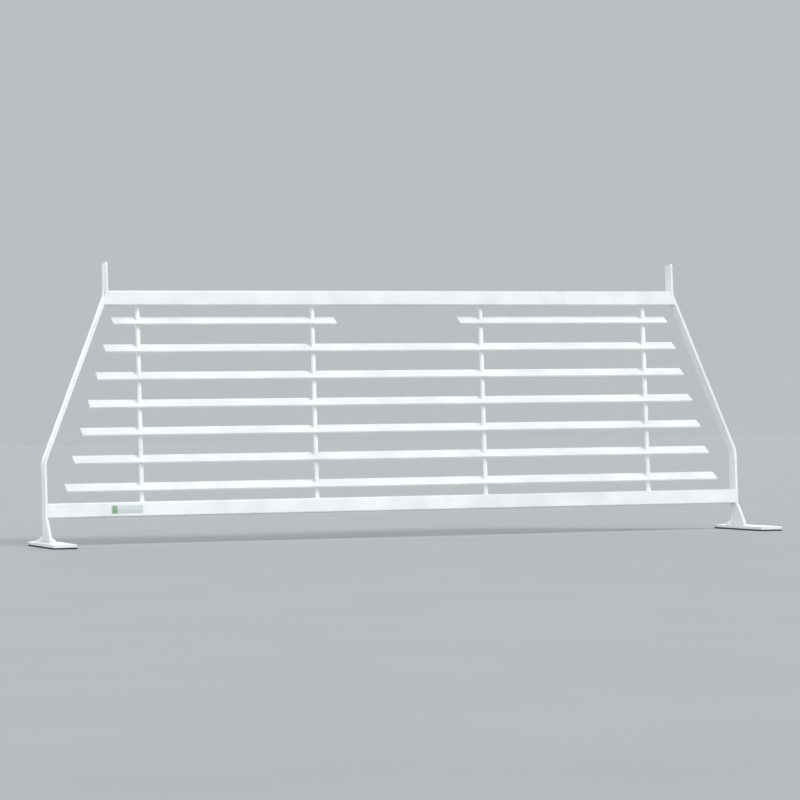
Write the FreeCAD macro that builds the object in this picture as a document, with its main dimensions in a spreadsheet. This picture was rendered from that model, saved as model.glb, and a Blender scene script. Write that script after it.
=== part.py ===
import FreeCAD, Part
import os

import Sketcher
from FreeCAD import Placement, Rotation, Vector

# A welded headache rack that stands on the two side rails of a pickup bed, behind the cab.
# Frame: +X towards the passenger side, +Y towards the cab, +Z up, in millimetres.
# Origin: midway between the feet, halfway along them, on the top of the bed rails.
#
# The uprights, crossbars, rods and louvers are laid out in one upright plane, the rack plane,
# whose y = 0 is the uprights' middle. One placement then leans that plane towards the cab.

SIZES = [
    ("leg_spacing", 1625.6, "middle to middle of the uprights on the bed rails"),
    ("ear_inset", 144.8, "how far an ear stands inboard of the leg below it"),
    ("lean_angle", 3.0, "lean of the rack plane towards the cab, in degrees"),
    ("lower_bar_height", 75.6, "bed rail to the middle of the lower crossbar"),
    ("bar_spacing", 460.0, "middle to middle of the two crossbars"),
    ("knee_height", 181.5, "bed rail to the bend where an upright turns inwards"),
    ("ear_bend_rise", 8.0, "middle of the upper crossbar to the bend below an ear"),
    ("ear_height", 62.6, "top of the upper crossbar to the tip of an ear"),
    ("flat_thickness", 6.35, "thickness of the uprights' flat bar"),
    ("flat_width", 31.75, "width of the uprights' flat bar, along the bed"),
    ("bend_radius", 38.0, "inside radius of the cold bends in an upright"),
    ("ear_corner_radius", 4.0, "rounded corners at the tip of an ear"),
    ("tube_size", 31.75, "outside of the crossbars' square tube"),
    ("tube_wall", 2.1, "wall of the square tube"),
    ("tube_corner_radius", 3.0, "outside corner radius of the square tube"),
    ("rod_diameter", 9.525, "round rods that carry the louvers"),
    ("rod_inset", 70.1, "middle of an ear to the outermost rod"),
    ("rod_hole_clearance", 0.15, "gap all round a rod in its louver hole"),
    ("louver_width", 31.75, "width of a louver blade across its slope"),
    ("louver_thickness", 3.175, "thickness of a louver blade"),
    ("louver_tilt", 32.0, "slope of a blade in the rack plane, front edge high, in degrees"),
    ("louver_margin", 48.8, "middle of a crossbar to the middle of the nearest blade"),
    ("top_end_gap", 36.0, "middle of an upright to the end of the highest blade"),
    ("bottom_end_gap", 46.8, "middle of an upright to the end of the lowest blade"),
    ("brake_light_gap", 292.0, "opening in the highest row in front of the brake light"),
    ("foot_length", 254.0, "foot plate along the bed rail"),
    ("foot_width", 50.8, "foot plate across the bed rail"),
    ("foot_thickness", 6.35, "foot plate"),
    ("pad_thickness", 3.2, "rubber pad under a foot plate"),
    ("leg_setback", 60.0, "front end of a foot plate to the middle of the upright"),
    ("bolt_hole_diameter", 10.3, "clearance hole for a 3/8 inch mounting bolt"),
    ("bolt_end_distance", 22.2, "end of a foot plate to the middle of its bolt hole"),
    ("gusset_thickness", 6.35, "plate of the rear gussets"),
    ("gusset_length", 38.1, "rear gusset along the foot plate"),
    ("gusset_drop", 3.0, "top of a rear gusset below the lower crossbar"),
    ("gusset_toe", 5.0, "clipped points of a rear gusset"),
    ("side_gusset_length", 19.0, "side gusset across the foot plate"),
    ("side_gusset_height", 14.0, "side gusset up the upright"),
    ("side_gusset_thickness", 6.35, "plate of the side gussets"),
    ("side_gusset_toe", 2.5, "clipped points of a side gusset"),
    ("label_length", 70.0, "blank label on the lower crossbar"),
    ("label_height", 17.5, "blank label"),
    ("label_thickness", 0.25, "blank label"),
    ("label_inset", 139.0, "left upright to the near end of the label"),
]

LOUVER_ROWS = 7
ROD_COUNT = 4
LEFT = -1
RIGHT = 1
SIDE_NAMES = {LEFT: "left", RIGHT: "right"}

# Places worked out from the driving sizes, as expressions over the sheet. Heights from the
# bed rail upwards are in the rack plane unless they belong to the feet.
HALF_FLAT = "Sizes.flat_thickness / 2"
HALF_TUBE = "Sizes.tube_size / 2"
LEG_X = "Sizes.leg_spacing / 2"
EAR_X = "(Sizes.leg_spacing / 2 - Sizes.ear_inset)"
FOOT_TOP = "(Sizes.pad_thickness + Sizes.foot_thickness)"
UPPER_BAR = "(Sizes.lower_bar_height + Sizes.bar_spacing)"
UPPER_BAR_TOP = f"({UPPER_BAR} + {HALF_TUBE})"
UPPER_BAR_UNDERSIDE = f"({UPPER_BAR} - {HALF_TUBE})"
LOWER_BAR_TOP = f"(Sizes.lower_bar_height + {HALF_TUBE})"
LOWER_BAR_UNDERSIDE = f"(Sizes.lower_bar_height - {HALF_TUBE})"
EAR_BEND = f"({UPPER_BAR} + Sizes.ear_bend_rise)"
EAR_TIP = f"({UPPER_BAR_TOP} + Sizes.ear_height)"
INWARD_SLOPE = f"(Sizes.ear_inset / ({EAR_BEND} - Sizes.knee_height))"
BEND_SHIFT = f"({HALF_FLAT} * tan(atan({INWARD_SLOPE}) / 2))"
SLOPE_ALLOWANCE = f"({HALF_FLAT} / cos(atan({INWARD_SLOPE})))"
LEG_END = f"({FOOT_TOP} / cos(Sizes.lean_angle) - Sizes.flat_width / 2 * tan(Sizes.lean_angle))"
LEG_END_RISE = "(Sizes.flat_width * tan(Sizes.lean_angle))"
LEG_Y = "(Sizes.foot_length / 2 - Sizes.leg_setback)"
ROD_SPACING = f"(2 * ({EAR_X} - Sizes.rod_inset) / {ROD_COUNT - 1})"
LOUVER_PITCH = f"((Sizes.bar_spacing - 2 * Sizes.louver_margin) / {LOUVER_ROWS - 1})"
TOP_LOUVER = f"({UPPER_BAR} - Sizes.louver_margin)"
TOP_HALF_LENGTH = f"({LEG_X} - ({TOP_LOUVER} - Sizes.knee_height) * {INWARD_SLOPE} - Sizes.top_end_gap)"
BOTTOM_HALF_LENGTH = f"({LEG_X} - Sizes.bottom_end_gap)"

doc = FreeCAD.newDocument("HeadacheRack")
sheet = doc.addObject("Spreadsheet::Sheet", "Sizes")
subparts = []


def fill_sheet():
    """Write the driving sizes into the sheet, one row each: alias, value and meaning."""
    for row, (alias, size, meaning) in enumerate(SIZES, start=1):
        sheet.set(f"A{row}", alias)
        sheet.set(f"B{row}", str(size))
        sheet.setAlias(f"B{row}", alias)
        sheet.set(f"C{row}", meaning)
    doc.recompute()


def value(expression):
    """Return a sheet expression's value as a plain number."""
    result = sheet.evalExpression(expression)
    return float(getattr(result, "Value", result))


def new_body(name):
    """Add an empty body that will be one piece of the rack."""
    body = doc.addObject("PartDesign::Body", name)
    body.Label = name
    subparts.append(body)
    return body


def lean_with_rack(body):
    """Stand a piece drawn in the rack plane on the bed rails, leaning towards the cab."""
    body.Placement = Placement(
        Vector(0, value(LEG_Y), 0),
        Rotation(Vector(-1, 0, 0), value("Sizes.lean_angle")),
    )
    body.setExpression("Placement.Base.y", LEG_Y)
    body.setExpression("Placement.Rotation.Angle", "Sizes.lean_angle * 1 deg")


def new_sketch(body, name, plane, offset="0"):
    """Add a sketch on one of the body's own planes, moved along that plane's normal."""
    sketch = body.newObject("Sketcher::SketchObject", name)
    origin_plane = next(part for part in body.Origin.OriginFeatures if part.Role == plane)
    sketch.AttachmentSupport = [(origin_plane, "")]
    sketch.MapMode = "FlatFace"
    sketch.AttachmentOffset = Placement(Vector(0, 0, value(offset)), Rotation())
    sketch.setExpression("AttachmentOffset.Base.z", offset)
    return sketch


def hold_point(sketch, geometry, point, across, up):
    """Fix a point of a sketch at two expressions, measured from the sketch's origin."""
    for kind, expression in (("DistanceX", across), ("DistanceY", up)):
        rule = Sketcher.Constraint(kind, -1, 1, geometry, point, value(expression))
        number = sketch.addConstraint(rule)
        sketch.setExpression(f"Constraints[{number}]", expression)


def draw_outline(sketch, corners):
    """Draw a closed outline of straight sides through corners given as expressions."""
    points = [Vector(value(across), value(up), 0) for across, up in corners]
    count = len(points)
    first = sketch.GeometryCount
    for index in range(count):
        sketch.addGeometry(Part.LineSegment(points[index], points[(index + 1) % count]), False)
    for index in range(count):
        following = first + (index + 1) % count
        sketch.addConstraint(Sketcher.Constraint("Coincident", first + index, 2, following, 1))
    for index, (across, up) in enumerate(corners):
        hold_point(sketch, first + index, 1, across, up)


def draw_circle(sketch, across, up, radius):
    """Draw a circle whose middle and radius are expressions."""
    middle = Vector(value(across), value(up), 0)
    geometry = sketch.addGeometry(Part.Circle(middle, Vector(0, 0, 1), value(radius)), False)
    hold_point(sketch, geometry, 3, across, up)
    number = sketch.addConstraint(Sketcher.Constraint("Radius", geometry, value(radius)))
    sketch.setExpression(f"Constraints[{number}]", radius)


def pad(body, sketch, length, both_ways=False):
    """Pad a sketch along its normal, or half the length each way."""
    feature = body.newObject("PartDesign::Pad", f"{sketch.Name}_pad")
    feature.Profile = sketch
    feature.Midplane = both_ways
    feature.Length = value(length)
    feature.setExpression("Length", length)
    doc.recompute()
    return feature


def pocket_through(body, sketch):
    """Cut a sketch through the whole body, both ways from its plane."""
    volume = body.Shape.Volume
    feature = body.newObject("PartDesign::Pocket", f"{sketch.Name}_pocket")
    feature.Profile = sketch
    feature.Type = "ThroughAll"
    feature.Midplane = True
    doc.recompute()
    if not body.Shape.Volume < volume:
        raise RuntimeError(f"{feature.Name} removes nothing")
    return feature


def round_edges(body, name, radius, wanted):
    """Round the edges of the body that the test picks, to a radius from the sheet."""
    base = body.Tip
    picked = [
        f"Edge{number}"
        for number, edge in enumerate(base.Shape.Edges, start=1)
        if wanted(edge)
    ]
    if not picked:
        raise RuntimeError(f"{name} finds no edge")
    feature = body.newObject("PartDesign::Fillet", name)
    feature.Base = (base, picked)
    feature.Radius = value(radius)
    feature.setExpression("Radius", radius)
    doc.recompute()
    return feature


def runs_along(edge, axis):
    """Say whether a straight edge runs along an axis."""
    if edge.Curve.TypeId != "Part::GeomLine":
        return False
    return abs(edge.Curve.Direction.dot(axis)) > 0.999


def edge_middle(edge):
    """Return the middle of an edge's box."""
    return edge.BoundBox.Center


def make_upright(side):
    """One upright: a flat bar bent inwards at the knee and straight again below its ear."""
    body = new_body(f"{SIDE_NAMES[side]}_upright")
    lean_with_rack(body)
    outer = [
        (f"{LEG_X} + {HALF_FLAT}", LEG_END),
        (f"{LEG_X} + {HALF_FLAT}", f"Sizes.knee_height + {BEND_SHIFT}"),
        (f"{EAR_X} + {HALF_FLAT}", f"{EAR_BEND} + {BEND_SHIFT}"),
        (f"{EAR_X} + {HALF_FLAT}", EAR_TIP),
    ]
    inner = [
        (f"{EAR_X} - {HALF_FLAT}", EAR_TIP),
        (f"{EAR_X} - {HALF_FLAT}", f"{EAR_BEND} - {BEND_SHIFT}"),
        (f"{LEG_X} - {HALF_FLAT}", f"Sizes.knee_height - {BEND_SHIFT}"),
        (f"{LEG_X} - {HALF_FLAT}", LEG_END),
    ]
    profile = new_sketch(body, f"{body.Name}_profile", "XZ_Plane")
    draw_outline(profile, [(f"{side} * ({across})", up) for across, up in outer + inner])
    pad(body, profile, "Sizes.flat_width", both_ways=True)
    bend_upright(body, side)
    square_leg_end(body)
    return body


def bend_upright(body, side):
    """Round both bends of an upright, and the corners of its ear."""
    across_bed = Vector(0, 1, 0)
    bends = {
        "knee_inside": (f"{LEG_X} - {HALF_FLAT}", f"Sizes.knee_height - {BEND_SHIFT}", 0),
        "knee_outside": (f"{LEG_X} + {HALF_FLAT}", f"Sizes.knee_height + {BEND_SHIFT}", 1),
        "ear_inside": (f"{EAR_X} + {HALF_FLAT}", f"{EAR_BEND} + {BEND_SHIFT}", 0),
        "ear_outside": (f"{EAR_X} - {HALF_FLAT}", f"{EAR_BEND} - {BEND_SHIFT}", 1),
    }
    for name, (across, up, skins) in bends.items():
        corner = Vector(side * value(across), 0, value(up))
        round_edges(
            body,
            f"{body.Name}_{name}",
            f"Sizes.bend_radius + {skins} * Sizes.flat_thickness",
            lambda edge: runs_along(edge, across_bed)
            and edge_middle(edge).distanceToPoint(corner) < 0.01,
        )
    tip = value(EAR_TIP)
    across_ear = Vector(1, 0, 0)
    round_edges(
        body,
        f"{body.Name}_ear_corners",
        "Sizes.ear_corner_radius",
        lambda edge: runs_along(edge, across_ear) and abs(edge_middle(edge).z - tip) < 0.01,
    )


def square_leg_end(body):
    """Cut the leaning leg's lower end level with the top of the foot plate."""
    back = "-Sizes.flat_width / 2"
    front = "Sizes.flat_width / 2"
    wedge = new_sketch(body, f"{body.Name}_wedge", "YZ_Plane")
    draw_outline(
        wedge,
        [(back, LEG_END), (front, LEG_END), (front, f"{LEG_END} + {LEG_END_RISE}")],
    )
    pocket_through(body, wedge)


def make_tube(name, height, half_length):
    """A length of square tube across the rack, with rounded outside corners."""
    body = new_body(name)
    lean_with_rack(body)
    section = new_sketch(body, f"{name}_section", "YZ_Plane")
    bore = f"({HALF_TUBE} - Sizes.tube_wall)"
    for half in (HALF_TUBE, bore):
        draw_outline(
            section,
            [
                (f"-{half}", f"{height} - {half}"),
                (half, f"{height} - {half}"),
                (half, f"{height} + {half}"),
                (f"-{half}", f"{height} + {half}"),
            ],
        )
    pad(body, section, f"2 * {half_length}", both_ways=True)
    along_tube = Vector(1, 0, 0)
    edge_of_tube = value(HALF_TUBE)
    round_edges(
        body,
        f"{name}_corners",
        "Sizes.tube_corner_radius",
        lambda edge: runs_along(edge, along_tube)
        and abs(abs(edge_middle(edge).y) - edge_of_tube) < 0.01,
    )
    return body


def make_lower_crossbar():
    """The lower crossbar: square ends against the straight legs."""
    make_tube("lower_crossbar", "Sizes.lower_bar_height", f"({LEG_X} - {HALF_FLAT})")


def make_upper_crossbar():
    """The upper crossbar: ends cut to the slope of the uprights, then upright at the ears."""
    below = (
        f"({LEG_X} - ({UPPER_BAR_UNDERSIDE} - Sizes.knee_height) * {INWARD_SLOPE}"
        f" - {SLOPE_ALLOWANCE})"
    )
    body = make_tube("upper_crossbar", UPPER_BAR, below)
    at_ear = f"({EAR_X} - {HALF_FLAT})"
    ends = new_sketch(body, "upper_crossbar_ends", "XZ_Plane")
    for side in (LEFT, RIGHT):
        draw_outline(
            ends,
            [
                (f"{side} * {below}", UPPER_BAR_UNDERSIDE),
                (f"{side} * {at_ear}", f"{EAR_BEND} - {BEND_SHIFT}"),
                (f"{side} * {at_ear}", UPPER_BAR_TOP),
                (f"{side} * {below}", UPPER_BAR_TOP),
            ],
        )
    pocket_through(body, ends)


def rod_place(number):
    """Return the distance of a rod from the middle of the rack; rods count from the left."""
    return f"({number - (ROD_COUNT + 1) / 2} * {ROD_SPACING})"


def make_rod(number):
    """A round rod from the lower crossbar up to the upper one."""
    name = f"vertical_rod_{number}"
    body = new_body(name)
    lean_with_rack(body)
    section = new_sketch(body, f"{name}_section", "XY_Plane", LOWER_BAR_TOP)
    draw_circle(section, rod_place(number), "0", "Sizes.rod_diameter / 2")
    pad(body, section, f"{UPPER_BAR_UNDERSIDE} - {LOWER_BAR_TOP}")


def louver_half_length(row):
    """Return half the length of a louver row; row 0 is the highest."""
    share = row / (LOUVER_ROWS - 1)
    return f"({TOP_HALF_LENGTH} * {1 - share} + {BOTTOM_HALF_LENGTH} * {share})"


def make_louver(name, row, start, length, rods):
    """A sloped blade, front edge high, with a punched hole for each rod that it rides on."""
    body = new_body(name)
    lean_with_rack(body)
    middle = f"({TOP_LOUVER} - {row} * {LOUVER_PITCH})"
    section = new_sketch(body, f"{name}_section", "YZ_Plane", start)
    corners = []
    for along, through in ((-1, -1), (1, -1), (1, 1), (-1, 1)):
        half_width = f"({along} * Sizes.louver_width / 2)"
        half_skin = f"({through} * Sizes.louver_thickness / 2)"
        corners.append(
            (
                f"{half_width} * cos(Sizes.louver_tilt) - {half_skin} * sin(Sizes.louver_tilt)",
                f"{middle} + {half_width} * sin(Sizes.louver_tilt)"
                f" + {half_skin} * cos(Sizes.louver_tilt)",
            )
        )
    draw_outline(section, corners)
    pad(body, section, length)
    holes = new_sketch(body, f"{name}_holes", "XY_Plane", middle)
    for rod in rods:
        draw_circle(holes, rod_place(rod), "0", "Sizes.rod_diameter / 2 + Sizes.rod_hole_clearance")
    pocket_through(body, holes)


def make_louvers():
    """All louvers: the highest row in two pieces beside the brake light, the rest whole."""
    half = louver_half_length(0)
    short_length = f"{half} - Sizes.brake_light_gap / 2"
    middle_rod = ROD_COUNT // 2
    make_louver("louver_1_left", 0, f"-{half}", short_length, range(1, middle_rod + 1))
    make_louver(
        "louver_1_right",
        0,
        "Sizes.brake_light_gap / 2",
        short_length,
        range(middle_rod + 1, ROD_COUNT + 1),
    )
    for row in range(1, LOUVER_ROWS):
        half = louver_half_length(row)
        make_louver(f"louver_{row + 1}", row, f"-{half}", f"2 * {half}", range(1, ROD_COUNT + 1))


def make_foot_sheet(name, side, bottom, thickness):
    """A plate or pad along the bed rail, drilled for the two mounting bolts."""
    body = new_body(name)
    outline = new_sketch(body, f"{name}_outline", "XY_Plane", bottom)
    middle = f"{side} * {LEG_X}"
    half_width = "Sizes.foot_width / 2"
    half_length = "Sizes.foot_length / 2"
    draw_outline(
        outline,
        [
            (f"{middle} - {half_width}", f"-{half_length}"),
            (f"{middle} + {half_width}", f"-{half_length}"),
            (f"{middle} + {half_width}", half_length),
            (f"{middle} - {half_width}", half_length),
        ],
    )
    for end in (-1, 1):
        hole_y = f"{end} * ({half_length} - Sizes.bolt_end_distance)"
        draw_circle(outline, middle, hole_y, "Sizes.bolt_hole_diameter / 2")
    pad(body, outline, thickness)


def make_feet():
    """The foot plates and the rubber pads under them."""
    for side in (LEFT, RIGHT):
        name = SIDE_NAMES[side]
        make_foot_sheet(f"{name}_foot_pad", side, "0", "Sizes.pad_thickness")
        make_foot_sheet(f"{name}_foot_plate", side, "Sizes.pad_thickness", "Sizes.foot_thickness")


def make_rear_gusset(side):
    """A gusset behind an upright, down to the foot plate, its points clipped."""
    name = f"{SIDE_NAMES[side]}_rear_gusset"
    body = new_body(name)
    slope = "tan(Sizes.lean_angle)"
    heel = f"({LEG_Y} + {FOOT_TOP} * {slope} - Sizes.flat_width / 2 / cos(Sizes.lean_angle))"
    toe = f"({heel} - Sizes.gusset_length)"
    height = f"({LOWER_BAR_UNDERSIDE} - Sizes.gusset_drop - {FOOT_TOP})"
    outline = new_sketch(body, f"{name}_outline", "YZ_Plane", f"{side} * {LEG_X}")
    draw_outline(
        outline,
        [
            (heel, FOOT_TOP),
            (f"{heel} + {height} * {slope}", f"{FOOT_TOP} + {height}"),
            (f"{heel} + {height} * {slope} - Sizes.gusset_toe", f"{FOOT_TOP} + {height}"),
            (toe, f"{FOOT_TOP} + Sizes.gusset_toe"),
            (toe, FOOT_TOP),
        ],
    )
    pad(body, outline, "Sizes.gusset_thickness", both_ways=True)


def make_side_gusset(side, facing, facing_name):
    """A low gusset beside an upright: facing is 1 on the outer side and -1 on the inner."""
    name = f"{SIDE_NAMES[side]}_{facing_name}_gusset"
    body = new_body(name)
    heel = f"({LEG_X} + {facing} * {HALF_FLAT})"
    middle = f"({LEG_Y} + {FOOT_TOP} * tan(Sizes.lean_angle))"
    corners = [
        ("0", "0"),
        ("Sizes.side_gusset_length", "0"),
        ("Sizes.side_gusset_length", "Sizes.side_gusset_toe"),
        ("Sizes.side_gusset_toe", "Sizes.side_gusset_height"),
        ("0", "Sizes.side_gusset_height"),
    ]
    outline = new_sketch(body, f"{name}_outline", "XZ_Plane", f"-{middle}")
    draw_outline(
        outline,
        [
            (f"{side} * ({heel} + {facing} * {across})", f"{FOOT_TOP} + {up}")
            for across, up in corners
        ],
    )
    pad(body, outline, "Sizes.side_gusset_thickness", both_ways=True)


def make_gussets():
    """The rear, outer and inner gussets at the foot of each upright."""
    for side in (LEFT, RIGHT):
        make_rear_gusset(side)
        make_side_gusset(side, 1, "outer")
        make_side_gusset(side, -1, "inner")


def make_label():
    """A blank label stuck on the rear face of the lower crossbar, near the left upright."""
    body = new_body("blank_label")
    lean_with_rack(body)
    near_end = f"(-{LEG_X} + {HALF_FLAT} + Sizes.label_inset)"
    half_height = "Sizes.label_height / 2"
    outline = new_sketch(body, "blank_label_outline", "XZ_Plane", HALF_TUBE)
    draw_outline(
        outline,
        [
            (near_end, f"Sizes.lower_bar_height - {half_height}"),
            (f"{near_end} + Sizes.label_length", f"Sizes.lower_bar_height - {half_height}"),
            (f"{near_end} + Sizes.label_length", f"Sizes.lower_bar_height + {half_height}"),
            (near_end, f"Sizes.lower_bar_height + {half_height}"),
        ],
    )
    pad(body, outline, "Sizes.label_thickness")


def check_document():
    """Stop if any object failed to compute or any piece has no sound shape."""
    for item in doc.Objects:
        if "Invalid" in item.State or "Error" in item.State:
            raise RuntimeError(f"{item.Name} did not compute: {item.State}")
    for body in subparts:
        if body.Shape.isNull() or not body.Shape.isValid():
            raise RuntimeError(f"{body.Label} has no sound shape")
        if len(body.Shape.Solids) != 1:
            raise RuntimeError(f"{body.Label} has {len(body.Shape.Solids)} solids")


def main():
    """Build every piece, check it and write one STEP file each."""
    fill_sheet()
    for side in (LEFT, RIGHT):
        make_upright(side)
    make_lower_crossbar()
    make_upper_crossbar()
    for number in range(1, ROD_COUNT + 1):
        make_rod(number)
    make_louvers()
    make_feet()
    make_gussets()
    make_label()
    doc.recompute()
    check_document()
    os.makedirs("parts", exist_ok=True)
    for body in subparts:
        body.Shape.exportStep(f"parts/{body.Label}.step")
        print(f"{body.Label}: {body.Shape.Volume / 1000:.1f} cm3")


main()
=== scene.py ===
"""Finishes, weld beads, a blank label and a studio around a packed headache rack.

Lengths are metres in the model's own frame: +X along the crossbars, +Y towards the cab, +Z up,
with the mounting pads standing on z = 0.
"""

import logging
import math
from collections.abc import Callable, Iterable, Sequence
from dataclasses import dataclass, field
from enum import Enum

import bmesh
import bpy
from mathutils import Matrix, Vector


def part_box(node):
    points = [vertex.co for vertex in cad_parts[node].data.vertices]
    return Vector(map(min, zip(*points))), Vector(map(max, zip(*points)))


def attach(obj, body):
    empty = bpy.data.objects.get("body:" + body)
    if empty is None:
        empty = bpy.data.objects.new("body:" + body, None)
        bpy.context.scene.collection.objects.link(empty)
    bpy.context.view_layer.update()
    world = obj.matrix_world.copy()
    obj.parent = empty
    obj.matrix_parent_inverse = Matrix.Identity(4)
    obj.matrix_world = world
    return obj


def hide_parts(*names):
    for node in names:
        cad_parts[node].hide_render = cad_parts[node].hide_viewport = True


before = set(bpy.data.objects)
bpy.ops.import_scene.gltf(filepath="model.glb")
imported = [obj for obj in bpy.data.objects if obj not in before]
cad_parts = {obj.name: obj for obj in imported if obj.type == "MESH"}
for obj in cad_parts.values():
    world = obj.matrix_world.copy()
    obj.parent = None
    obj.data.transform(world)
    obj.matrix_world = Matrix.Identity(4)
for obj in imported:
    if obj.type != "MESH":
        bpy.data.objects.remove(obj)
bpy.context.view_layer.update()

LOG = logging.getLogger("headache_rack")
MM = 0.001
BODY = "root"
NEARLY = 0.9  # share of a whole that counts as all of it
SAME_POINT = 0.002 * MM  # corners of a new piece nearer than this are merged
SAME_CORNER = 0.005 * MM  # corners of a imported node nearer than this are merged
SAME_FACE = math.radians(0.5)  # packed faces that turn less than this are one face
SHARP_EDGE = math.radians(50)  # packed edges that turn more than this are rounded
EDGE_SKIN = 1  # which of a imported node's two finishes its rounded edges take
Colour = tuple[float, float, float, float]
Material = bpy.types.Material
Piece = bpy.types.Object
Socket = bpy.types.NodeSocket
Tree = bpy.types.NodeTree


class Slot(Enum):
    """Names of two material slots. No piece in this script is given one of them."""

    WHITE = "white_powder_coat"
    LABEL = "label_film"


class Side(Enum):
    """The two ends of the rack, with the sign of X that each has."""

    LEFT = -1
    RIGHT = 1

    @property
    def word(self) -> str:
        """The side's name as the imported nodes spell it."""
        return self.name.lower()


# ---------------------------------------------------------------- finishes


def linear(hex_colour: str) -> Colour:
    """Turns an sRGB hex colour into linear red, green, blue and alpha.

    Args:
        hex_colour: Six hex digits after a hash, such as "#F4F5F5".

    Returns:
        Four linear numbers from 0 to 1, the last of them 1.
    """
    parts = [int(hex_colour[i : i + 2], 16) / 255 for i in (1, 3, 5)]
    red, green, blue = (
        p / 12.92 if p <= 0.04045 else ((p + 0.055) / 1.055) ** 2.4 for p in parts
    )
    return red, green, blue, 1.0


def add_node(
    tree: Tree, kind: str, inputs: dict | None = None, **settings: object
) -> bpy.types.Node:
    """Adds one shader node with its settings, values and links.

    Args:
        tree: The node tree that gets the node.
        kind: The node's type name.
        inputs: Input names or numbers, each with a value or with the output linked to it.
        **settings: Properties of the node itself, such as its operation.

    Returns:
        The new node.
    """
    node = tree.nodes.new(kind)
    for name, value in settings.items():
        setattr(node, name, value)
    for key, value in (inputs or {}).items():
        if isinstance(value, Socket):
            tree.links.new(value, node.inputs[key])
        else:
            node.inputs[key].default_value = value
    return node


MIX_FACTOR, MIX_A, MIX_B, MIX_RESULT = 0, 6, 7, 2  # sockets of a Mix node set to colour


def begin_material(name: str) -> tuple[Material, Tree, bpy.types.Node]:
    """Starts a node material.

    Args:
        name: The material's name.

    Returns:
        The material, its node tree and its principled shader.
    """
    made = bpy.data.materials.new(name)
    made.use_nodes = True
    return made, made.node_tree, made.node_tree.nodes["Principled BSDF"]


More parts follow.
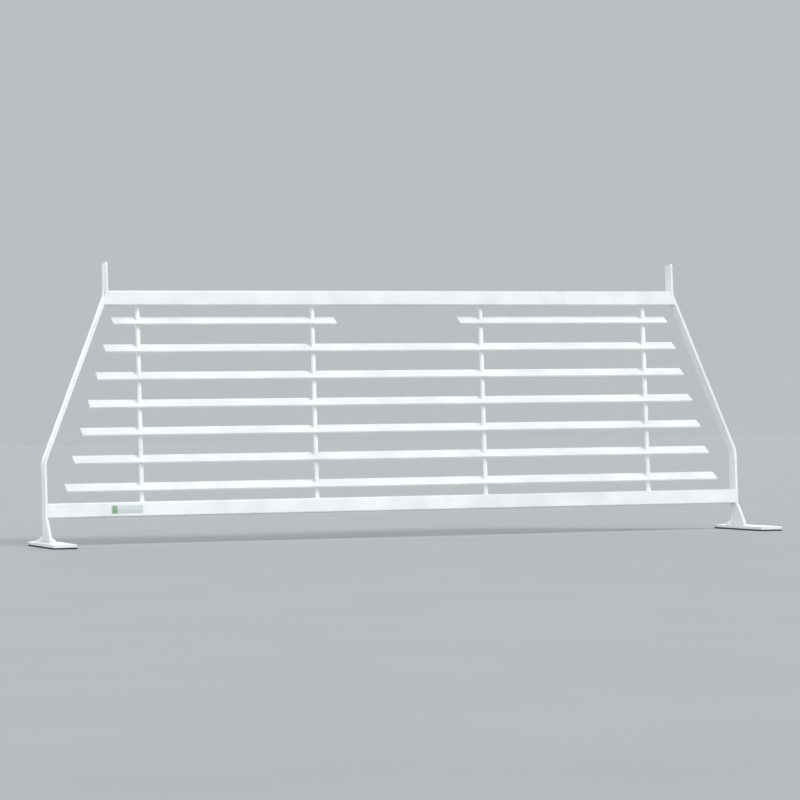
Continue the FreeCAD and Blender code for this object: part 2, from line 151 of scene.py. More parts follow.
@dataclass(frozen=True)
class PowderCoat:
    """White polyester powder coat, sprayed dry on steel and baked until it flows together.

    It gives the eye a clean semi-gloss white with a faint orange peel, a little greyer
    where the film is thin, with dust settled on what faces up and road film near the feet.
    A band is the pair of noise values between which one look turns into the other.
    """

    name: str = "powder_coat_white"
    white: str = "#F7F8F8"
    thin_film: str = "#E9ECEE"
    dust: str = "#D6CFC2"
    primer: str = "#A9ADB0"
    roughness: tuple[float, float] = (0.27, 0.4)
    peel_size: float = 5 * MM  # real peel is 2 to 3 mm, drawn coarser so that it shows
    peel_height: float = 0.08 * MM
    patch_size: float = 90 * MM  # how far apart thick and thin film lie
    patch_band: tuple[float, float] = (0.38, 0.66)
    gloss_band: tuple[float, float] = (0.3, 0.7)
    dust_size: float = 14 * MM  # across a blotch of settled dust
    dust_band: tuple[float, float] = (0.35, 0.7)
    dust_least: float = 0.25  # share of the dust that is left between blotches
    dust_from: float = 0.55  # upward part of a face's normal where dust begins to lie
    dust_share: float = 0.08
    grime_top: float = 80 * MM  # road film fades out by this height
    grime_share: float = 0.10
    chip_size: float = 3.5 * MM  # real chips are 1 to 2 mm, drawn coarser so that they show
    chip_band: tuple[float, float] = (0.66, 0.7)
    chipped: float = 0.0  # 0 leaves the film whole, 1 chips it along an edge
    ior: float = 1.5

    def material(self) -> Material:
        """Builds the node material.

        Returns:
            The finished material.
        """
        made, tree, shader = begin_material(self.name)
        place = add_node(tree, "ShaderNodeTexCoord").outputs["Object"]
        patches = add_node(
            tree, "ShaderNodeTexNoise",
            {"Vector": place, "Scale": 1 / self.patch_size, "Detail": 4.0, "Roughness": 0.55},
        )
        film = add_node(
            tree, "ShaderNodeMapRange",
            {"Value": patches.outputs["Fac"],
             "From Min": self.patch_band[0], "From Max": self.patch_band[1]},
        )
        base = add_node(
            tree, "ShaderNodeMix",
            {MIX_FACTOR: film.outputs["Result"],
             MIX_A: linear(self.white), MIX_B: linear(self.thin_film)},
            data_type="RGBA",
        )
        colour = self._settle_dust(tree, place, base.outputs[MIX_RESULT])
        if self.chipped:
            colour = self._chip(tree, place, colour)
        tree.links.new(colour, shader.inputs["Base Color"])
        sheen = add_node(
            tree, "ShaderNodeMapRange",
            {"Value": patches.outputs["Fac"],
             "From Min": self.gloss_band[0], "From Max": self.gloss_band[1],
             "To Min": self.roughness[0], "To Max": self.roughness[1]},
        )
        tree.links.new(sheen.outputs["Result"], shader.inputs["Roughness"])
        peel = add_node(
            tree, "ShaderNodeTexNoise",
            {"Vector": place, "Scale": 1 / self.peel_size, "Detail": 2.0, "Roughness": 0.45},
        )
        bump = add_node(
            tree, "ShaderNodeBump",
            {"Height": peel.outputs["Fac"], "Strength": 1.0, "Distance": self.peel_height},
        )
        tree.links.new(bump.outputs["Normal"], shader.inputs["Normal"])
        shader.inputs["IOR"].default_value = self.ior
        return made

    def _settle_dust(self, tree: Tree, place: Socket, under: Socket) -> Socket:
        """Lays dust on the faces that look up, and road film on the parts near the bed rail.

        Args:
            tree: The material's node tree.
            place: The Object coordinates.
            under: The colour below the dust.

        Returns:
            The colour with the dust on it.
        """
        facing = add_node(
            tree, "ShaderNodeSeparateXYZ",
            {"Vector": add_node(tree, "ShaderNodeNewGeometry").outputs["Normal"]},
        )
        specks = add_node(
            tree, "ShaderNodeTexNoise",
            {"Vector": place, "Scale": 1 / self.dust_size, "Detail": 6.0, "Roughness": 0.7},
        )
        upward = add_node(
            tree, "ShaderNodeMapRange",
            {"Value": facing.outputs["Z"],
             "From Min": self.dust_from, "From Max": 1.0, "To Max": self.dust_share},
        )
        low = add_node(
            tree, "ShaderNodeMapRange",
            {"Value": add_node(tree, "ShaderNodeSeparateXYZ", {"Vector": place}).outputs["Z"],
             "From Min": 0.0, "From Max": self.grime_top,
             "To Min": self.grime_share, "To Max": 0.0},
        )
        laid = add_node(
            tree, "ShaderNodeMath",
            {0: upward.outputs["Result"], 1: low.outputs["Result"]}, operation="ADD",
        )
        uneven = add_node(
            tree, "ShaderNodeMapRange",
            {"Value": specks.outputs["Fac"],
             "From Min": self.dust_band[0], "From Max": self.dust_band[1],
             "To Min": self.dust_least},
        )
        share = add_node(
            tree, "ShaderNodeMath",
            {0: laid.outputs["Value"], 1: uneven.outputs["Result"]}, operation="MULTIPLY",
        )
        return add_node(
            tree, "ShaderNodeMix",
            {MIX_FACTOR: share.outputs["Value"], MIX_A: under, MIX_B: linear(self.dust)},
            data_type="RGBA",
        ).outputs[MIX_RESULT]

    def _chip(self, tree: Tree, place: Socket, under: Socket) -> Socket:
        """Lets grey primer show through in small chips, as the film does along an edge.

        Args:
            tree: The material's node tree.
            place: The Object coordinates.
            under: The colour of the whole film.

        Returns:
            The colour with the chips in it.
        """
        nicks = add_node(
            tree, "ShaderNodeTexNoise",
            {"Vector": place, "Scale": 1 / self.chip_size, "Detail": 3.0, "Roughness": 0.6},
        )
        share = add_node(
            tree, "ShaderNodeMapRange",
            {"Value": nicks.outputs["Fac"],
             "From Min": self.chip_band[0], "From Max": self.chip_band[1],
             "To Max": self.chipped},
        )
        return add_node(
            tree, "ShaderNodeMix",
            {MIX_FACTOR: share.outputs["Result"], MIX_A: under, MIX_B: linear(self.primer)},
            data_type="RGBA",
        ).outputs[MIX_RESULT]


@dataclass(frozen=True)
class MouldedRubber:
    """Black EPDM sheet rubber, moulded between cloth-lined plates.

    It gives the eye a soft dull black with a fine pebble and a grey bloom of dust.
    """

    name: str = "epdm_rubber_black"
    black: str = "#1B1C1D"
    bloom: str = "#3A3B3B"
    roughness: tuple[float, float] = (0.62, 0.85)
    pebble_size: float = 2 * MM  # real cloth leaves about 1 mm, drawn coarser so that it shows
    pebble_height: float = 0.12 * MM
    pebble_strength: float = 0.6
    bloom_size: float = 30 * MM
    bloom_band: tuple[float, float] = (0.4, 0.75)  # noise values between clean and bloomed
    ior: float = 1.52

    def material(self) -> Material:
        """Builds the node material.

        Returns:
            The finished material.
        """
        made, tree, shader = begin_material(self.name)
        place = add_node(tree, "ShaderNodeTexCoord").outputs["Object"]
        haze = add_node(
            tree, "ShaderNodeTexNoise",
            {"Vector": place, "Scale": 1 / self.bloom_size, "Detail": 5.0, "Roughness": 0.65},
        )
        share = add_node(
            tree, "ShaderNodeMapRange",
            {"Value": haze.outputs["Fac"],
             "From Min": self.bloom_band[0], "From Max": self.bloom_band[1]},
        )
        colour = add_node(
            tree, "ShaderNodeMix",
            {MIX_FACTOR: share.outputs["Result"],
             MIX_A: linear(self.black), MIX_B: linear(self.bloom)},
            data_type="RGBA",
        )
        tree.links.new(colour.outputs[MIX_RESULT], shader.inputs["Base Color"])
        dull = add_node(
            tree, "ShaderNodeMapRange",
            {"Value": haze.outputs["Fac"],
             "To Min": self.roughness[0], "To Max": self.roughness[1]},
        )
        tree.links.new(dull.outputs["Result"], shader.inputs["Roughness"])
        pebble = add_node(
            tree, "ShaderNodeTexVoronoi",
            {"Vector": place, "Scale": 1 / self.pebble_size}, feature="SMOOTH_F1",
        )
        bump = add_node(
            tree, "ShaderNodeBump",
            {"Height": pebble.outputs["Distance"],
             "Strength": self.pebble_strength, "Distance": self.pebble_height},
        )
        tree.links.new(bump.outputs["Normal"], shader.inputs["Normal"])
        shader.inputs["IOR"].default_value = self.ior
        return made


@dataclass(frozen=True)
class LabelFilm:
    """Printed vinyl film with a clear overlaminate, cut from a roll and pressed on.

    It gives the eye a smooth pale grey patch with a plain green block at one end.
    """

    name: str = "vinyl_film_pale_grey"
    ground: str = "#DDE1E2"
    faded: str = "#D0D5D6"
    block: str = "#8FAF92"
    block_start: float = -668.6 * MM  # X of the green block's outer edge
    block_end: float = -657 * MM  # and of its inner edge
    roughness: float = 0.22
    ior: float = 1.52
    fade_size: float = 12 * MM
    ripple_size: float = 9 * MM
    ripple_height: float = 0.05 * MM

    def material(self) -> Material:
        """Builds the node material.

        Returns:
            The finished material.
        """
        made, tree, shader = begin_material(self.name)
        place = add_node(tree, "ShaderNodeTexCoord").outputs["Object"]
        fade = add_node(
            tree, "ShaderNodeTexNoise",
            {"Vector": place, "Scale": 1 / self.fade_size, "Detail": 4.0, "Roughness": 0.6},
        )
        ground = add_node(
            tree, "ShaderNodeMix",
            {MIX_FACTOR: fade.outputs["Fac"],
             MIX_A: linear(self.ground), MIX_B: linear(self.faded)},
            data_type="RGBA",
        )
        along = add_node(tree, "ShaderNodeSeparateXYZ", {"Vector": place}).outputs["X"]
        after = add_node(
            tree, "ShaderNodeMath", {0: along, 1: self.block_start}, operation="GREATER_THAN"
        )
        before = add_node(
            tree, "ShaderNodeMath", {0: along, 1: self.block_end}, operation="LESS_THAN"
        )
        inside = add_node(
            tree, "ShaderNodeMath",
            {0: after.outputs["Value"], 1: before.outputs["Value"]}, operation="MULTIPLY",
        )
        printed = add_node(
            tree, "ShaderNodeMix",
            {MIX_FACTOR: inside.outputs["Value"], MIX_A: ground.outputs[MIX_RESULT],
             MIX_B: linear(self.block)},
            data_type="RGBA",
        )
        tree.links.new(printed.outputs[MIX_RESULT], shader.inputs["Base Color"])
        ripple = add_node(
            tree, "ShaderNodeTexNoise",
            {"Vector": place, "Scale": 1 / self.ripple_size, "Detail": 1.0},
        )
        bump = add_node(
            tree, "ShaderNodeBump",
            {"Height": ripple.outputs["Fac"], "Strength": 1.0, "Distance": self.ripple_height},
        )
        tree.links.new(bump.outputs["Normal"], shader.inputs["Normal"])
        shader.inputs["Roughness"].default_value = self.roughness
        shader.inputs["IOR"].default_value = self.ior
        return made


@dataclass(frozen=True)
class FloorPaint:
    """Pale matt floor paint, rolled on by hand.

    It gives the eye one even pale grey with the faint mottle that a roller leaves.
    """

    name: str = "floor_paint_pale_grey"
    light: str = "#B5B7B8"
    deep: str = "#AEB0B2"
    roughness: float = 0.9
    gleam: float = 0.05  # dead matt, so the floor keeps one tone however low it is looked at
    mottle_size: float = 350 * MM

    def material(self) -> Material:
        """Builds the node material.

        Returns:
            The finished material.
        """
        made, tree, shader = begin_material(self.name)
        place = add_node(tree, "ShaderNodeTexCoord").outputs["Object"]
        mottle = add_node(
            tree, "ShaderNodeTexNoise",
            {"Vector": place, "Scale": 1 / self.mottle_size, "Detail": 5.0},
        )
        colour = add_node(
            tree, "ShaderNodeMix",
            {MIX_FACTOR: mottle.outputs["Fac"],
             MIX_A: linear(self.light), MIX_B: linear(self.deep)},
            data_type="RGBA",
        )
        tree.links.new(colour.outputs[MIX_RESULT], shader.inputs["Base Color"])
        shader.inputs["Roughness"].default_value = self.roughness
        shader.inputs["Specular IOR Level"].default_value = self.gleam
        return made


@dataclass(frozen=True)
class Finishes:
    """Every material of the rack, made once and shared by its pieces."""

    coat: Material
    edge: Material
    rubber: Material
    label: Material

    @property
    def steel(self) -> tuple[Material, Material]:
        """The coat on faces and the thinner coat on edges."""
        return self.coat, self.edge

    @classmethod
    def mixed(cls) -> "Finishes":
        """Makes the four materials of the rack.

        Returns:
            The finishes, ready for use.
        """
        # Powder draws away from a sharp edge, which leaves it greyer, duller and easily chipped.
        edge = PowderCoat(
            name="powder_coat_thin_at_edges", white="#E6E9EB", thin_film="#D5DADD",
            roughness=(0.36, 0.5), chipped=0.55,
        )
        return cls(
            coat=PowderCoat().material(),
            edge=edge.material(),
            rubber=MouldedRubber().material(),
            label=LabelFilm().material(),
        )


# ---------------------------------------------------------------- workbench


def deselect_everything() -> None:
    """Leaves edit mode and selects nothing, so that an operator touches only its own piece."""
    if bpy.context.object and bpy.context.object.mode != "OBJECT":
        bpy.ops.object.mode_set(mode="OBJECT")
    bpy.ops.object.select_all(action="DESELECT")


def take_up(*pieces: Piece) -> None:
    """Selects only these pieces and makes the first of them active.

    Args:
        *pieces: The pieces to work on.
    """
    deselect_everything()
    for piece in pieces:
        piece.select_set(True)
    bpy.context.view_layer.objects.active = pieces[0]


def pick(piece: Piece, part: str, wanted: Callable[[Vector, Vector], bool]) -> None:
    """Selects the vertices or faces of the piece in edit mode that pass a test.

    Args:
        piece: The piece being edited.
        part: "VERT" or "FACE".
        wanted: Takes the place and the normal of a vertex or face, and says whether to select it.
    """
    bpy.ops.mesh.select_mode(type=part)
    bpy.ops.mesh.select_all(action="DESELECT")
    mesh = bmesh.from_edit_mesh(piece.data)
    for item in mesh.verts if part == "VERT" else mesh.faces:
        place = item.co if part == "VERT" else item.calc_center_median()
        if wanted(place, item.normal):
            item.select_set(True)
    mesh.select_flush_mode()
    bmesh.update_edit_mesh(piece.data)


def fix_in_place(piece: Piece, smooth_below: float) -> None:
    """Puts a piece's place, turn and size into its mesh, closes doubles and shades it.

    Args:
        piece: The finished piece.
        smooth_below: Edges flatter than this many degrees are shaded smooth.
    """
    take_up(piece)
    bpy.ops.object.transform_apply(location=True, rotation=True, scale=True)
    bpy.ops.object.mode_set(mode="EDIT")
    bpy.ops.mesh.select_mode(type="VERT")
    bpy.ops.mesh.select_all(action="SELECT")
    bpy.ops.mesh.remove_doubles(threshold=SAME_POINT)
    bpy.ops.mesh.normals_make_consistent(inside=False)
    bpy.ops.object.mode_set(mode="OBJECT")
    bpy.ops.object.shade_smooth_by_angle(angle=math.radians(smooth_below))


def hand_over(piece: Piece, material: Material) -> None:
    """Gives a finished piece its material and its body.

    Args:
        piece: The finished piece.
        material: The finish.
    """
    piece.data.materials.clear()
    piece.data.materials.append(material)
    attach(piece, BODY)


def lay_copies(name: str, work: Iterable[tuple[Piece, Matrix]]) -> Piece:
    """Copies patterns to their places and joins the copies into one piece.

    Args:
        name: The name of the joined piece.
        work: Pairs of a pattern and the place where a copy of it goes.

    Returns:
        The joined piece.
    """
    copies = []
    for pattern, place in work:
        copy = pattern.copy()
        copy.data = pattern.data.copy()
        bpy.context.scene.collection.objects.link(copy)
        copy.matrix_world = place
        copies.append(copy)
    bpy.context.view_layer.update()
    take_up(*copies)
    bpy.ops.object.join()
    piece = bpy.context.view_layer.objects.active
    piece.name = piece.data.name = name
    return piece


def axes(x: Vector, y: Vector, z: Vector, origin: Vector) -> Matrix:
    """Works out the place that a pattern is carried to.

    Args:
        x: Where the pattern's own X goes.
        y: Where its Y goes.
        z: Where its Z goes.
        origin: Where its middle goes.

    Returns:
        The matrix of that place.
    """
    turned = Matrix((x, y, z)).transposed().to_4x4()
    turned.translation = origin
    return turned


@dataclass
class RackPlane:
    """The leaning plane that the legs, crossbars, rods and blades share."""

    lean: float = math.radians(3)  # towards the cab at the top
    foot_y: float = 67 * MM  # where the plane meets z = 0

    @property
    def across(self) -> Vector:
        """The direction from the bed side to the cab side, square to the plane."""
        return Vector((0, math.cos(self.lean), -math.sin(self.lean)))

    @property
    def up(self) -> Vector:
        """The direction up the plane."""
        return Vector((0, math.sin(self.lean), math.cos(self.lean)))

    def point(self, x: float, across: float, up: float) -> Vector:
        """The point at x, so far from the plane towards the cab and so far up it."""
        return Vector((x, self.foot_y, 0)) + self.across * across + self.up * up

    def height(self, node: str) -> float:
        """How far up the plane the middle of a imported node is."""
        low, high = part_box(node)
        return ((low + high) / 2).z / math.cos(self.lean)


@dataclass
class WeldShop:
    """Lays fillet and ring beads. Each length or size of bead is modelled once and copied."""

    bead: float = 2.2 * MM  # half the width of a bead
    ripple: float = 2.4 * MM  # from one ripple to the next
    sides: int = 8  # of a bead's round section
    start: float = 0.5  # share of the full width where the arc was struck
    crater: float = 0.4  # share of the full width where the arc was broken off
    valley: float = 0.84  # share of the full width between two ripples
    stand_off: float = 0.3  # share of a ring's bead that keeps its middle clear of the rod
    flatness: float = 0.85  # height of a ring's bead, as a share of its width
    smooth_below: float = 60.0  # degrees, so that the ripples run into one another
    patterns: dict[str, Piece] = field(default_factory=dict)

    def straight(self, length: float) -> Piece:
        """Models a straight bead along X, one ripple laid over the last.

        Args:
            length: The length of the bead.

        Returns:
            The pattern, with its middle at the origin.
        """
        key = f"straight_bead_{length / MM:.1f}"
        if key in self.patterns:
            return self.patterns[key]
        deselect_everything()
        bpy.ops.mesh.primitive_circle_add(
            vertices=self.sides, radius=self.bead * self.start, fill_type="NGON",
            location=(-length / 2, 0, 0), rotation=(0, math.radians(90), 0),
        )
        pattern = bpy.context.object
        pattern.name = key
        bpy.ops.object.transform_apply(location=True, rotation=True, scale=True)
        bpy.ops.object.mode_set(mode="EDIT")
        bpy.ops.mesh.select_all(action="SELECT")
        count = max(2, round(length / self.ripple))
        shares = [step for _ in range(count) for step in (1.0, self.valley)][:-1]
        shares.append(self.crater)
        step, width = length / len(shares), self.start
        for share in shares:
            bpy.ops.mesh.extrude_region_move(TRANSFORM_OT_translate={"value": (step, 0, 0)})
            change = share / width
            bpy.ops.transform.resize(value=(1, change, change), center_override=(0, 0, 0))
            width = share
        bpy.ops.object.mode_set(mode="OBJECT")
        fix_in_place(pattern, self.smooth_below)
        self.patterns[key] = pattern
        return pattern

    def ring(self, rod: float, bead: float, stretch: float = 1.0) -> Piece:
        """Models the bead that runs round a rod where it meets a flat face.

        Args:
            rod: The rod's radius.
            bead: Half the width of the bead.
            stretch: How much longer the ring is along Y, where the rod meets the face aslant.

        Returns:
            The pattern, flat in the XY plane with its middle at the origin.
        """
        key = f"ring_bead_{rod / MM:.1f}_{stretch:.2f}"
        if key in self.patterns:
            return self.patterns[key]
        ribs = 2 * round(math.tau * rod / self.ripple)
        deselect_everything()
        bpy.ops.mesh.primitive_torus_add(
            major_segments=ribs, minor_segments=self.sides, location=(0, 0, 0),
            major_radius=rod + self.stand_off * bead, minor_radius=bead,
        )
        pattern = bpy.context.object
        pattern.name = key
        bpy.ops.object.mode_set(mode="EDIT")
        pick(
            pattern, "VERT",
            lambda place, _: round(math.atan2(place.y, place.x) / math.tau * ribs) % 2 == 1,
        )
        bpy.ops.transform.shrink_fatten(value=-bead * (1 - self.valley))
        bpy.ops.mesh.select_all(action="SELECT")
        bpy.ops.transform.resize(value=(1, stretch, self.flatness), center_override=(0, 0, 0))
        bpy.ops.object.mode_set(mode="OBJECT")
        fix_in_place(pattern, self.smooth_below)
        self.patterns[key] = pattern
        return pattern

    def seam(self, start: Vector, end: Vector) -> tuple[Piece, Matrix]:
        """A straight bead and the place that carries it from one point to another.

        Args:
            start: One end of the seam.
            end: The other end.

        Returns:
            The pattern and its place.
        """
        along = (end - start).normalized()
        helper = Vector((0, 0, 1)) if abs(along.z) < NEARLY else Vector((0, 1, 0))
        side = helper.cross(along).normalized()
        length = round((end - start).length, 4)  # to 0.1 mm, so that equal seams share a pattern
        return self.straight(length), axes(along, side, along.cross(side), (start + end) / 2)

    def lay(self, name: str, work: Iterable[tuple[Piece, Matrix]], coat: Material) -> Piece:
        """Lays the beads of one sub-assembly as a single coated piece.

        Args:
            name: The name of the piece.
            work: Pairs of a pattern and the place where a copy of it goes.
            coat: The finish of the steel round the beads.

        Returns:
            The joined beads.
        """
        piece = lay_copies(name, work)
        fix_in_place(piece, self.smooth_below)
        hand_over(piece, coat)
        return piece

    def sweep_up(self) -> None:
        """Removes the patterns, once every copy is laid."""
        for pattern in self.patterns.values():
            bpy.data.objects.remove(pattern)
        self.patterns.clear()


def soften(
    node: str, skins: tuple[Material, Material], width: float, segments: int = 2
) -> None:
    """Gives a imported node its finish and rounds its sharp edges.

    Args:
        node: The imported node's name.
        skins: The finish of its faces, and that of its rounded edges.
        width: How far the rounding reaches from the edge.
        segments: How many steps the rounding has.
    """
    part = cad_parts[node]
    part.data.materials.clear()
    for skin in skins:
        part.data.materials.append(skin)
    part.modifiers.new("close_doubles", "WELD").merge_threshold = SAME_CORNER
    flat = part.modifiers.new("flatten_faces", "DECIMATE")
    flat.decimate_type = "DISSOLVE"
    flat.angle_limit = SAME_FACE
    rounding = part.modifiers.new("rounded_edges", "BEVEL")
    rounding.width = width
    rounding.segments = segments
    rounding.limit_method = "ANGLE"
    rounding.angle_limit = SHARP_EDGE
    rounding.harden_normals = True
    rounding.material = EDGE_SKIN
    LOG.info("dressed %s", node)


# ---------------------------------------------------------------- sub-assemblies


@dataclass
class OuterFrame:
    """The two bent uprights and the two square crossbars welded between them."""

    plane: RackPlane
    shop: WeldShop
    finishes: Finishes
    bars: tuple[str, str] = ("lower_crossbar", "upper_crossbar")
    tube: float = 31.75 * MM  # width of a crossbar
    corner: float = 3 * MM  # radius of the tube's own corners
    edge: float = 0.8 * MM
    tube_edge: float = 0.3 * MM  # of the tube's cut ends, its only sharp edges
    trim: float = 1.5 * MM  # how far a flush bead stops short of the tube's top and underside
    sunk: float = 1.3 * MM  # how deep a flush bead's middle lies below the surface
    ear_face: float = 664.83 * MM  # X of an ear's inner face
    slope_top: float = 543 * MM  # where a mitred end meets the straight ear

    def dress(self) -> None:
        """Coats the uprights and the crossbars."""
        for side in Side:
            soften(f"{side.word}_upright", self.finishes.steel, self.edge)
        for bar in self.bars:
            soften(bar, self.finishes.steel, self.tube_edge, segments=1)

    def end_path(self, bar: str) -> list[tuple[float, float]]:
        """The line in the rack plane where a crossbar's right end meets its upright.

        Args:
            bar: The crossbar's node name.

        Returns:
            Points of X and height, from the bar's underside to its top.
        """
        reach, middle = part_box(bar)[1].x, self.plane.height(bar)
        low, high = middle - self.tube / 2, middle + self.tube / 2
        if bar == "lower_crossbar":
            return [(reach, low), (reach, high)]
        return [(reach, low), (self.ear_face, self.slope_top), (self.ear_face, high)]

    def flush_runs(self, path: list[tuple[float, float]]) -> list[list[tuple[float, float]]]:
        """The straight runs of an end path, without the trim at its top and underside.

        Args:
            path: Points of X and height, from the bar's underside to its top.

        Returns:
            The two ends of each run, as X and height.
        """
        lowest, highest = path[0][1] + self.trim, path[-1][1] - self.trim
        runs = []
        for (x0, up0), (x1, up1) in zip(path, path[1:]):
            ends = (max(up0, lowest), min(up1, highest))
            runs.append([(x0 + (x1 - x0) * (up - up0) / (up1 - up0), up) for up in ends])
        return runs

    def weld(self) -> Piece:
        """Lays the beads round the four crossbar ends.

        Returns:
            The joined beads.
        """
        work = []
        half = self.tube / 2 - self.corner
        for bar in self.bars:
            path = self.end_path(bar)
            for side in Side:
                for x, up in (path[0], path[-1]):
                    ends = [self.plane.point(side.value * x, s * half, up) for s in (-1, 1)]
                    work.append(self.shop.seam(*ends))
                for face in (-1, 1):
                    depth = face * (self.tube / 2 - self.sunk)
                    for run in self.flush_runs(path):
                        ends = [self.plane.point(side.value * x, depth, up) for x, up in run]
                        work.append(self.shop.seam(*ends))
        return self.shop.lay("crossbar_welds", work, self.finishes.coat)


@dataclass
class LouverPanel:
    """Four round rods and the rows of tilted blades that hang on them."""

    plane: RackPlane
    shop: WeldShop
    finishes: Finishes
    rods: Sequence[str] = tuple(f"vertical_rod_{i}" for i in range(1, 5))
    blades: Sequence[str] = (
        "louver_1_left", "louver_1_right", *(f"louver_{i}" for i in range(2, 8))
    )
    tilt: float = math.radians(32)  # front edge high, measured in the rack plane
    blade_thickness: float = 3.175 * MM
    rod_radius: float = 4.7625 * MM
    blade_bead: float = 1.8 * MM
    end_bead: float = 2.2 * MM
    tube: float = 31.75 * MM  # width of the crossbars, which the rods stand between
    edge: float = 0.5 * MM
    rod_edge: float = 0.3 * MM  # of the rods' cut ends, their only sharp edges

    def dress(self) -> None:
        """Coats the rods and the blades."""
        for rod in self.rods:
            soften(rod, self.finishes.steel, self.rod_edge, segments=1)
        for blade in self.blades:
            soften(blade, self.finishes.steel, self.edge)

    def crossings(self) -> list[tuple[Vector, Vector]]:
        """Every place where a rod passes through a blade.

        Returns:
            Pairs of the crossing's middle and the blade's upward normal.
        """
        slope = self.tilt - self.plane.lean
        normal = Vector((0, -math.sin(slope), math.cos(slope)))
        found = []
        for blade in self.blades:
            low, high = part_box(blade)
            for rod in self.rods:
                rod_low, rod_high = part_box(rod)
                x = (rod_low.x + rod_high.x) / 2
                if low.x < x < high.x:
                    middle = (low + high) / 2
                    found.append((Vector((x, middle.y, middle.z)), normal))
        return found

    def weld_blades(self) -> Piece:
        """Lays a ring bead on both faces of every blade, round each rod.

        Returns:
            The joined beads.
        """
        stretch = 1 / math.cos(self.tilt)
        ring = self.shop.ring(self.rod_radius, self.blade_bead, stretch)
        reach = self.blade_thickness / 2 * stretch
        right = Vector((1, 0, 0))
        work = [
            (ring, axes(right, normal.cross(right), normal, middle + self.plane.up * reach * face))
            for middle, normal in self.crossings()
            for face in (-1, 1)
        ]
        return self.shop.lay("louver_welds", work, self.finishes.coat)

    def weld_rods(self) -> Piece:
        """Lays a ring bead round both ends of every rod, on the crossbars.

        Returns:
            The joined beads.
        """
        ring = self.shop.ring(self.rod_radius, self.end_bead)
        bottom = self.plane.height("lower_crossbar") + self.tube / 2
        top = self.plane.height("upper_crossbar") - self.tube / 2
        right = Vector((1, 0, 0))
        work = []
        for rod in self.rods:
            low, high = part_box(rod)
            for up in (bottom, top):
                middle = self.plane.point((low.x + high.x) / 2, 0, up)
                work.append((ring, axes(right, self.plane.across, self.plane.up, middle)))
        return self.shop.lay("rod_end_welds", work, self.finishes.coat)


@dataclass
class MountingFoot:
    """One foot: a drilled plate on a rubber pad, with three gussets up to the upright."""

    plane: RackPlane
    shop: WeldShop
    finishes: Finishes
    side: Side
    width: float = 31.75 * MM  # of the upright's bar
    edge: float = 0.7 * MM
    pad_edge: float = 0.6 * MM
    trim: float = 2 * MM  # how far a bead stops short of a gusset's toe or tip
    gap: float = 1 * MM  # between two beads in one line
    sunk: float = 1.3 * MM  # how far a rear gusset's rising bead lies inside its side face

    def dress(self) -> None:
        """Coats the plate and its gussets, and gives the pad its rubber with worn corners."""
        word = self.side.word
        soften(f"{word}_foot_plate", self.finishes.steel, self.edge)
        for place in ("rear", "outer", "inner"):
            soften(f"{word}_{place}_gusset", self.finishes.steel, self.edge)
        soften(f"{word}_foot_pad", (self.finishes.rubber, self.finishes.rubber), self.pad_edge)

    def seams(self) -> list[tuple[Vector, Vector]]:
        """The foot's straight seams.

        Returns:
            Pairs of start and end points.
        """
        word = self.side.word
        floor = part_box(f"{word}_foot_plate")[1].z
        rear_low, rear_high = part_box(f"{word}_rear_gusset")
        found = []
        leg_back = self.plane.foot_y - self.width / 2
        leg_front = self.plane.foot_y + self.width / 2
        for x in (rear_low.x, rear_high.x):
            for start, end in (
                (rear_low.y + self.trim, leg_back),
                (leg_back + self.gap, leg_front),
            ):
                found.append((Vector((x, start, floor)), Vector((x, end, floor))))
            inward = self.sunk if x < (rear_low.x + rear_high.x) / 2 else -self.sunk
            rise = [
                self.plane.point(x + inward, -self.width / 2, up)
                for up in (floor + 2 * self.trim, rear_high.z - 2 * self.trim)
            ]
            found.append((rise[0], rise[1]))
        for place in ("outer", "inner"):
            low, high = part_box(f"{word}_{place}_gusset")
            leg_x = low.x if abs(low.x - rear_high.x) < self.trim else high.x
            toe_x = high.x if leg_x == low.x else low.x
            step = math.copysign(self.trim, toe_x - leg_x)
            for y in (low.y, high.y):
                foot = (Vector((leg_x + 2 * step, y, floor)), Vector((toe_x - step, y, floor)))
                bottom, top = floor + 2 * self.trim, high.z - self.trim
                found += [foot, (Vector((leg_x, y, bottom)), Vector((leg_x, y, top)))]
        return found

    def weld(self) -> Piece:
        """Lays the foot's beads.

        Returns:
            The joined beads.
        """
        work = [self.shop.seam(start, end) for start, end in self.seams()]
        return self.shop.lay(f"{self.side.word}_foot_welds", work, self.finishes.coat)


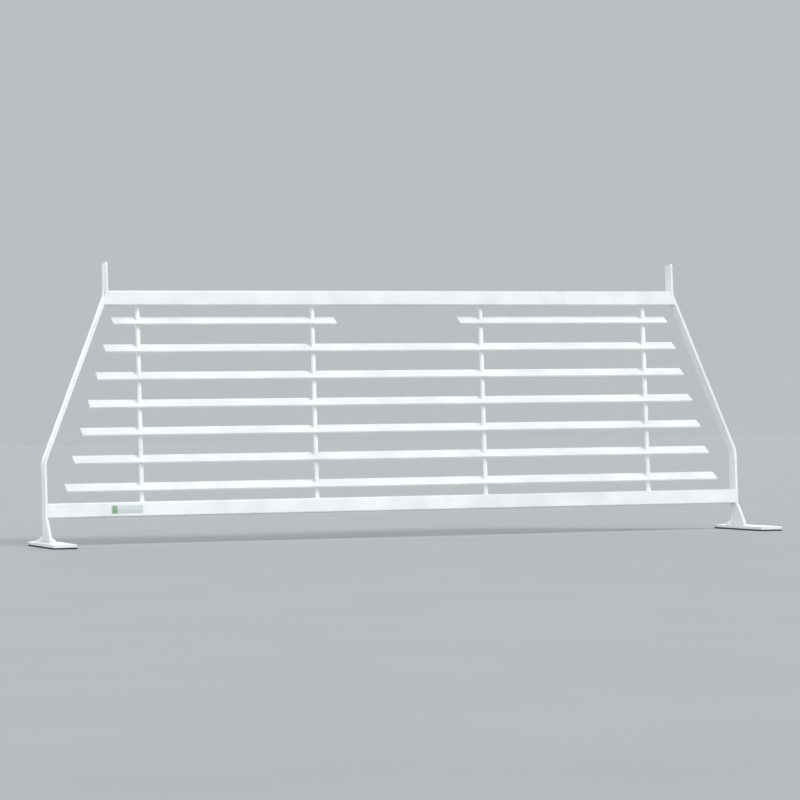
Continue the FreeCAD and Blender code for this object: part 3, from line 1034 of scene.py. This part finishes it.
@dataclass
class MakerLabel:
    """The blank label on the lower crossbar, with rounded corners and a soft edge."""

    finishes: Finishes
    plane: RackPlane
    node: str = "blank_label"
    corner: float = 2 * MM
    corner_steps: int = 6
    thickness: float = 0.25 * MM
    soft_edge: float = 0.08 * MM  # width of the rolled edge, which rises by half as much
    smooth_below: float = 30.0  # degrees

    def make(self) -> Piece:
        """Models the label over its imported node, which it replaces.

        Returns:
            The label.
        """
        low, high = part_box(self.node)
        length = high.x - low.x
        upright = high.z - low.z - self.thickness * math.sin(self.plane.lean)
        height = upright / math.cos(self.plane.lean)
        deselect_everything()
        bpy.ops.mesh.primitive_plane_add(size=1, location=(0, 0, 0))
        label = bpy.context.object
        label.name = label.data.name = "maker_label"
        bpy.ops.object.mode_set(mode="EDIT")
        bpy.ops.mesh.select_all(action="SELECT")
        bpy.ops.transform.resize(value=(length, height, 1), center_override=(0, 0, 0))
        bpy.ops.mesh.bevel(offset=self.corner, segments=self.corner_steps, affect="VERTICES")
        bpy.ops.mesh.select_all(action="SELECT")
        bpy.ops.mesh.extrude_region_move(TRANSFORM_OT_translate={"value": (0, 0, self.thickness)})
        pick(label, "FACE", lambda place, _: place.z > self.thickness * NEARLY)
        bpy.ops.mesh.inset(thickness=self.soft_edge, depth=0)
        bpy.ops.transform.translate(value=(0, 0, self.soft_edge / 2))
        bpy.ops.mesh.select_all(action="SELECT")
        bpy.ops.transform.translate(value=(0, 0, -self.thickness / 2))
        bpy.ops.object.mode_set(mode="OBJECT")
        label.matrix_world = axes(
            Vector((1, 0, 0)), self.plane.up, -self.plane.across, (low + high) / 2
        )
        fix_in_place(label, self.smooth_below)
        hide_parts(self.node)
        hand_over(label, self.finishes.label)
        return label


# ---------------------------------------------------------------- studio


@dataclass(frozen=True)
class Lamp:
    """A distant soft light: the way from the rack to it, its strength and its width in degrees."""

    name: str
    toward: tuple[float, float, float]
    strength: float
    spread: float


@dataclass
class Studio:
    """The pale floor, the soft light and the camera."""

    floor_radius: float = 60.0
    floor_depth: float = 0.02
    floor_sides: int = 96
    horizon: str = "#BBBFC2"  # the floor's own lit tone, so that no line shows where they meet
    zenith: str = "#B2B7BC"
    zenith_from: float = 0.5  # upward part of the direction where the zenith's tone is reached
    lamp_distance: float = 4.0  # only marks where a lamp stands, its light is the same from afar
    lamps: Sequence[Lamp] = (  # the first is high on the right, the three wide fills are low
        Lamp("key", (0.36, -0.58, 0.73), 1.58, 20),
        Lamp("bed_fill", (-0.25, -0.95, 0.18), 0.8, 60),
        Lamp("side_fill", (-0.97, -0.15, 0.18), 0.8, 50),
        Lamp("cab_fill", (0.25, 0.95, 0.12), 1.75, 60),
    )
    camera_at: tuple[float, float, float] = (-2.210, -6.423, 0.242)
    camera_aim: tuple[float, float, float] = (0.0, 0.08, 0.307)
    camera_roll: float = math.radians(-0.79)
    lens: float = 138.0
    sensor: float = 36.0
    sight: float = 200.0  # past the far edge of the floor

    def lay_floor(self) -> Piece:
        """Makes the floor, a wide round slab with its top at z = 0.

        Returns:
            The floor.
        """
        deselect_everything()
        bpy.ops.mesh.primitive_circle_add(
            vertices=self.floor_sides, radius=self.floor_radius, fill_type="NGON"
        )
        floor = bpy.context.object
        floor.name = floor.data.name = "studio_floor"
        bpy.ops.object.mode_set(mode="EDIT")
        bpy.ops.mesh.select_all(action="SELECT")
        bpy.ops.mesh.extrude_region_move(
            TRANSFORM_OT_translate={"value": (0, 0, -self.floor_depth)}
        )
        bpy.ops.mesh.select_all(action="SELECT")
        bpy.ops.mesh.normals_make_consistent(inside=False)
        bpy.ops.object.mode_set(mode="OBJECT")
        floor.data.materials.append(FloorPaint().material())
        return floor

    def light(self) -> None:
        """Sets a pale surround and the soft lamps, all aimed at the rack's middle."""
        world = bpy.data.worlds.new("pale_surround")
        bpy.context.scene.world = world
        world.use_nodes = True
        tree = world.node_tree
        way = add_node(tree, "ShaderNodeTexCoord").outputs["Generated"]
        rise = add_node(
            tree, "ShaderNodeMapRange",
            {"Value": add_node(tree, "ShaderNodeSeparateXYZ", {"Vector": way}).outputs["Z"],
             "From Min": 0.0, "From Max": self.zenith_from},
            interpolation_type="SMOOTHSTEP",
        )
        tone = add_node(
            tree, "ShaderNodeMix",
            {MIX_FACTOR: rise.outputs["Result"],
             MIX_A: linear(self.horizon), MIX_B: linear(self.zenith)},
            data_type="RGBA",
        )
        tree.links.new(tone.outputs[MIX_RESULT], tree.nodes["Background"].inputs["Color"])
        aim = Vector(self.camera_aim)
        deselect_everything()
        for lamp in self.lamps:
            at = Vector(lamp.toward)
            bpy.ops.object.light_add(type="SUN", location=aim + at * self.lamp_distance)
            made = bpy.context.object
            made.name = made.data.name = lamp.name
            made.rotation_euler = (-at).to_track_quat("-Z", "Y").to_euler()
            made.data.energy = lamp.strength
            made.data.angle = math.radians(lamp.spread)

    def place_camera(self) -> None:
        """Puts the camera behind the bed, low and to the left, and aims it at the rack's middle."""
        at, aim = Vector(self.camera_at), Vector(self.camera_aim)
        deselect_everything()
        bpy.ops.object.camera_add(location=at)
        camera = bpy.context.object
        camera.name = "camera"
        turn = (aim - at).to_track_quat("-Z", "Y").to_matrix()
        turn = turn @ Matrix.Rotation(self.camera_roll, 3, "Z")
        camera.rotation_euler = turn.to_euler()
        camera.data.sensor_width = self.sensor
        camera.data.lens = self.lens
        camera.data.clip_end = self.sight
        bpy.context.scene.camera = camera


def write_sizes() -> None:
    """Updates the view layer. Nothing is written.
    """
    bpy.context.view_layer.update()


def main() -> None:
    """Builds the studio and every sub-assembly in order, and reports each piece."""
    logging.basicConfig(level=logging.INFO, format="%(name)s: %(message)s")
    studio = Studio()
    studio.place_camera()
    studio.lay_floor()
    studio.light()
    bpy.context.scene.view_settings.view_transform = "Standard"

    plane, shop, finishes = RackPlane(), WeldShop(), Finishes.mixed()
    outer = OuterFrame(plane, shop, finishes)
    outer.dress()
    pieces = [outer.weld()]
    panel = LouverPanel(plane, shop, finishes)
    panel.dress()
    pieces += [panel.weld_blades(), panel.weld_rods()]
    for side in Side:
        foot = MountingFoot(plane, shop, finishes, side)
        foot.dress()
        pieces.append(foot.weld())
    pieces.append(MakerLabel(finishes, plane).make())
    shop.sweep_up()
    for piece in pieces:
        LOG.info("made %s, %d faces", piece.name, len(piece.data.polygons))
    write_sizes()


if __name__ == "__main__":
    main()
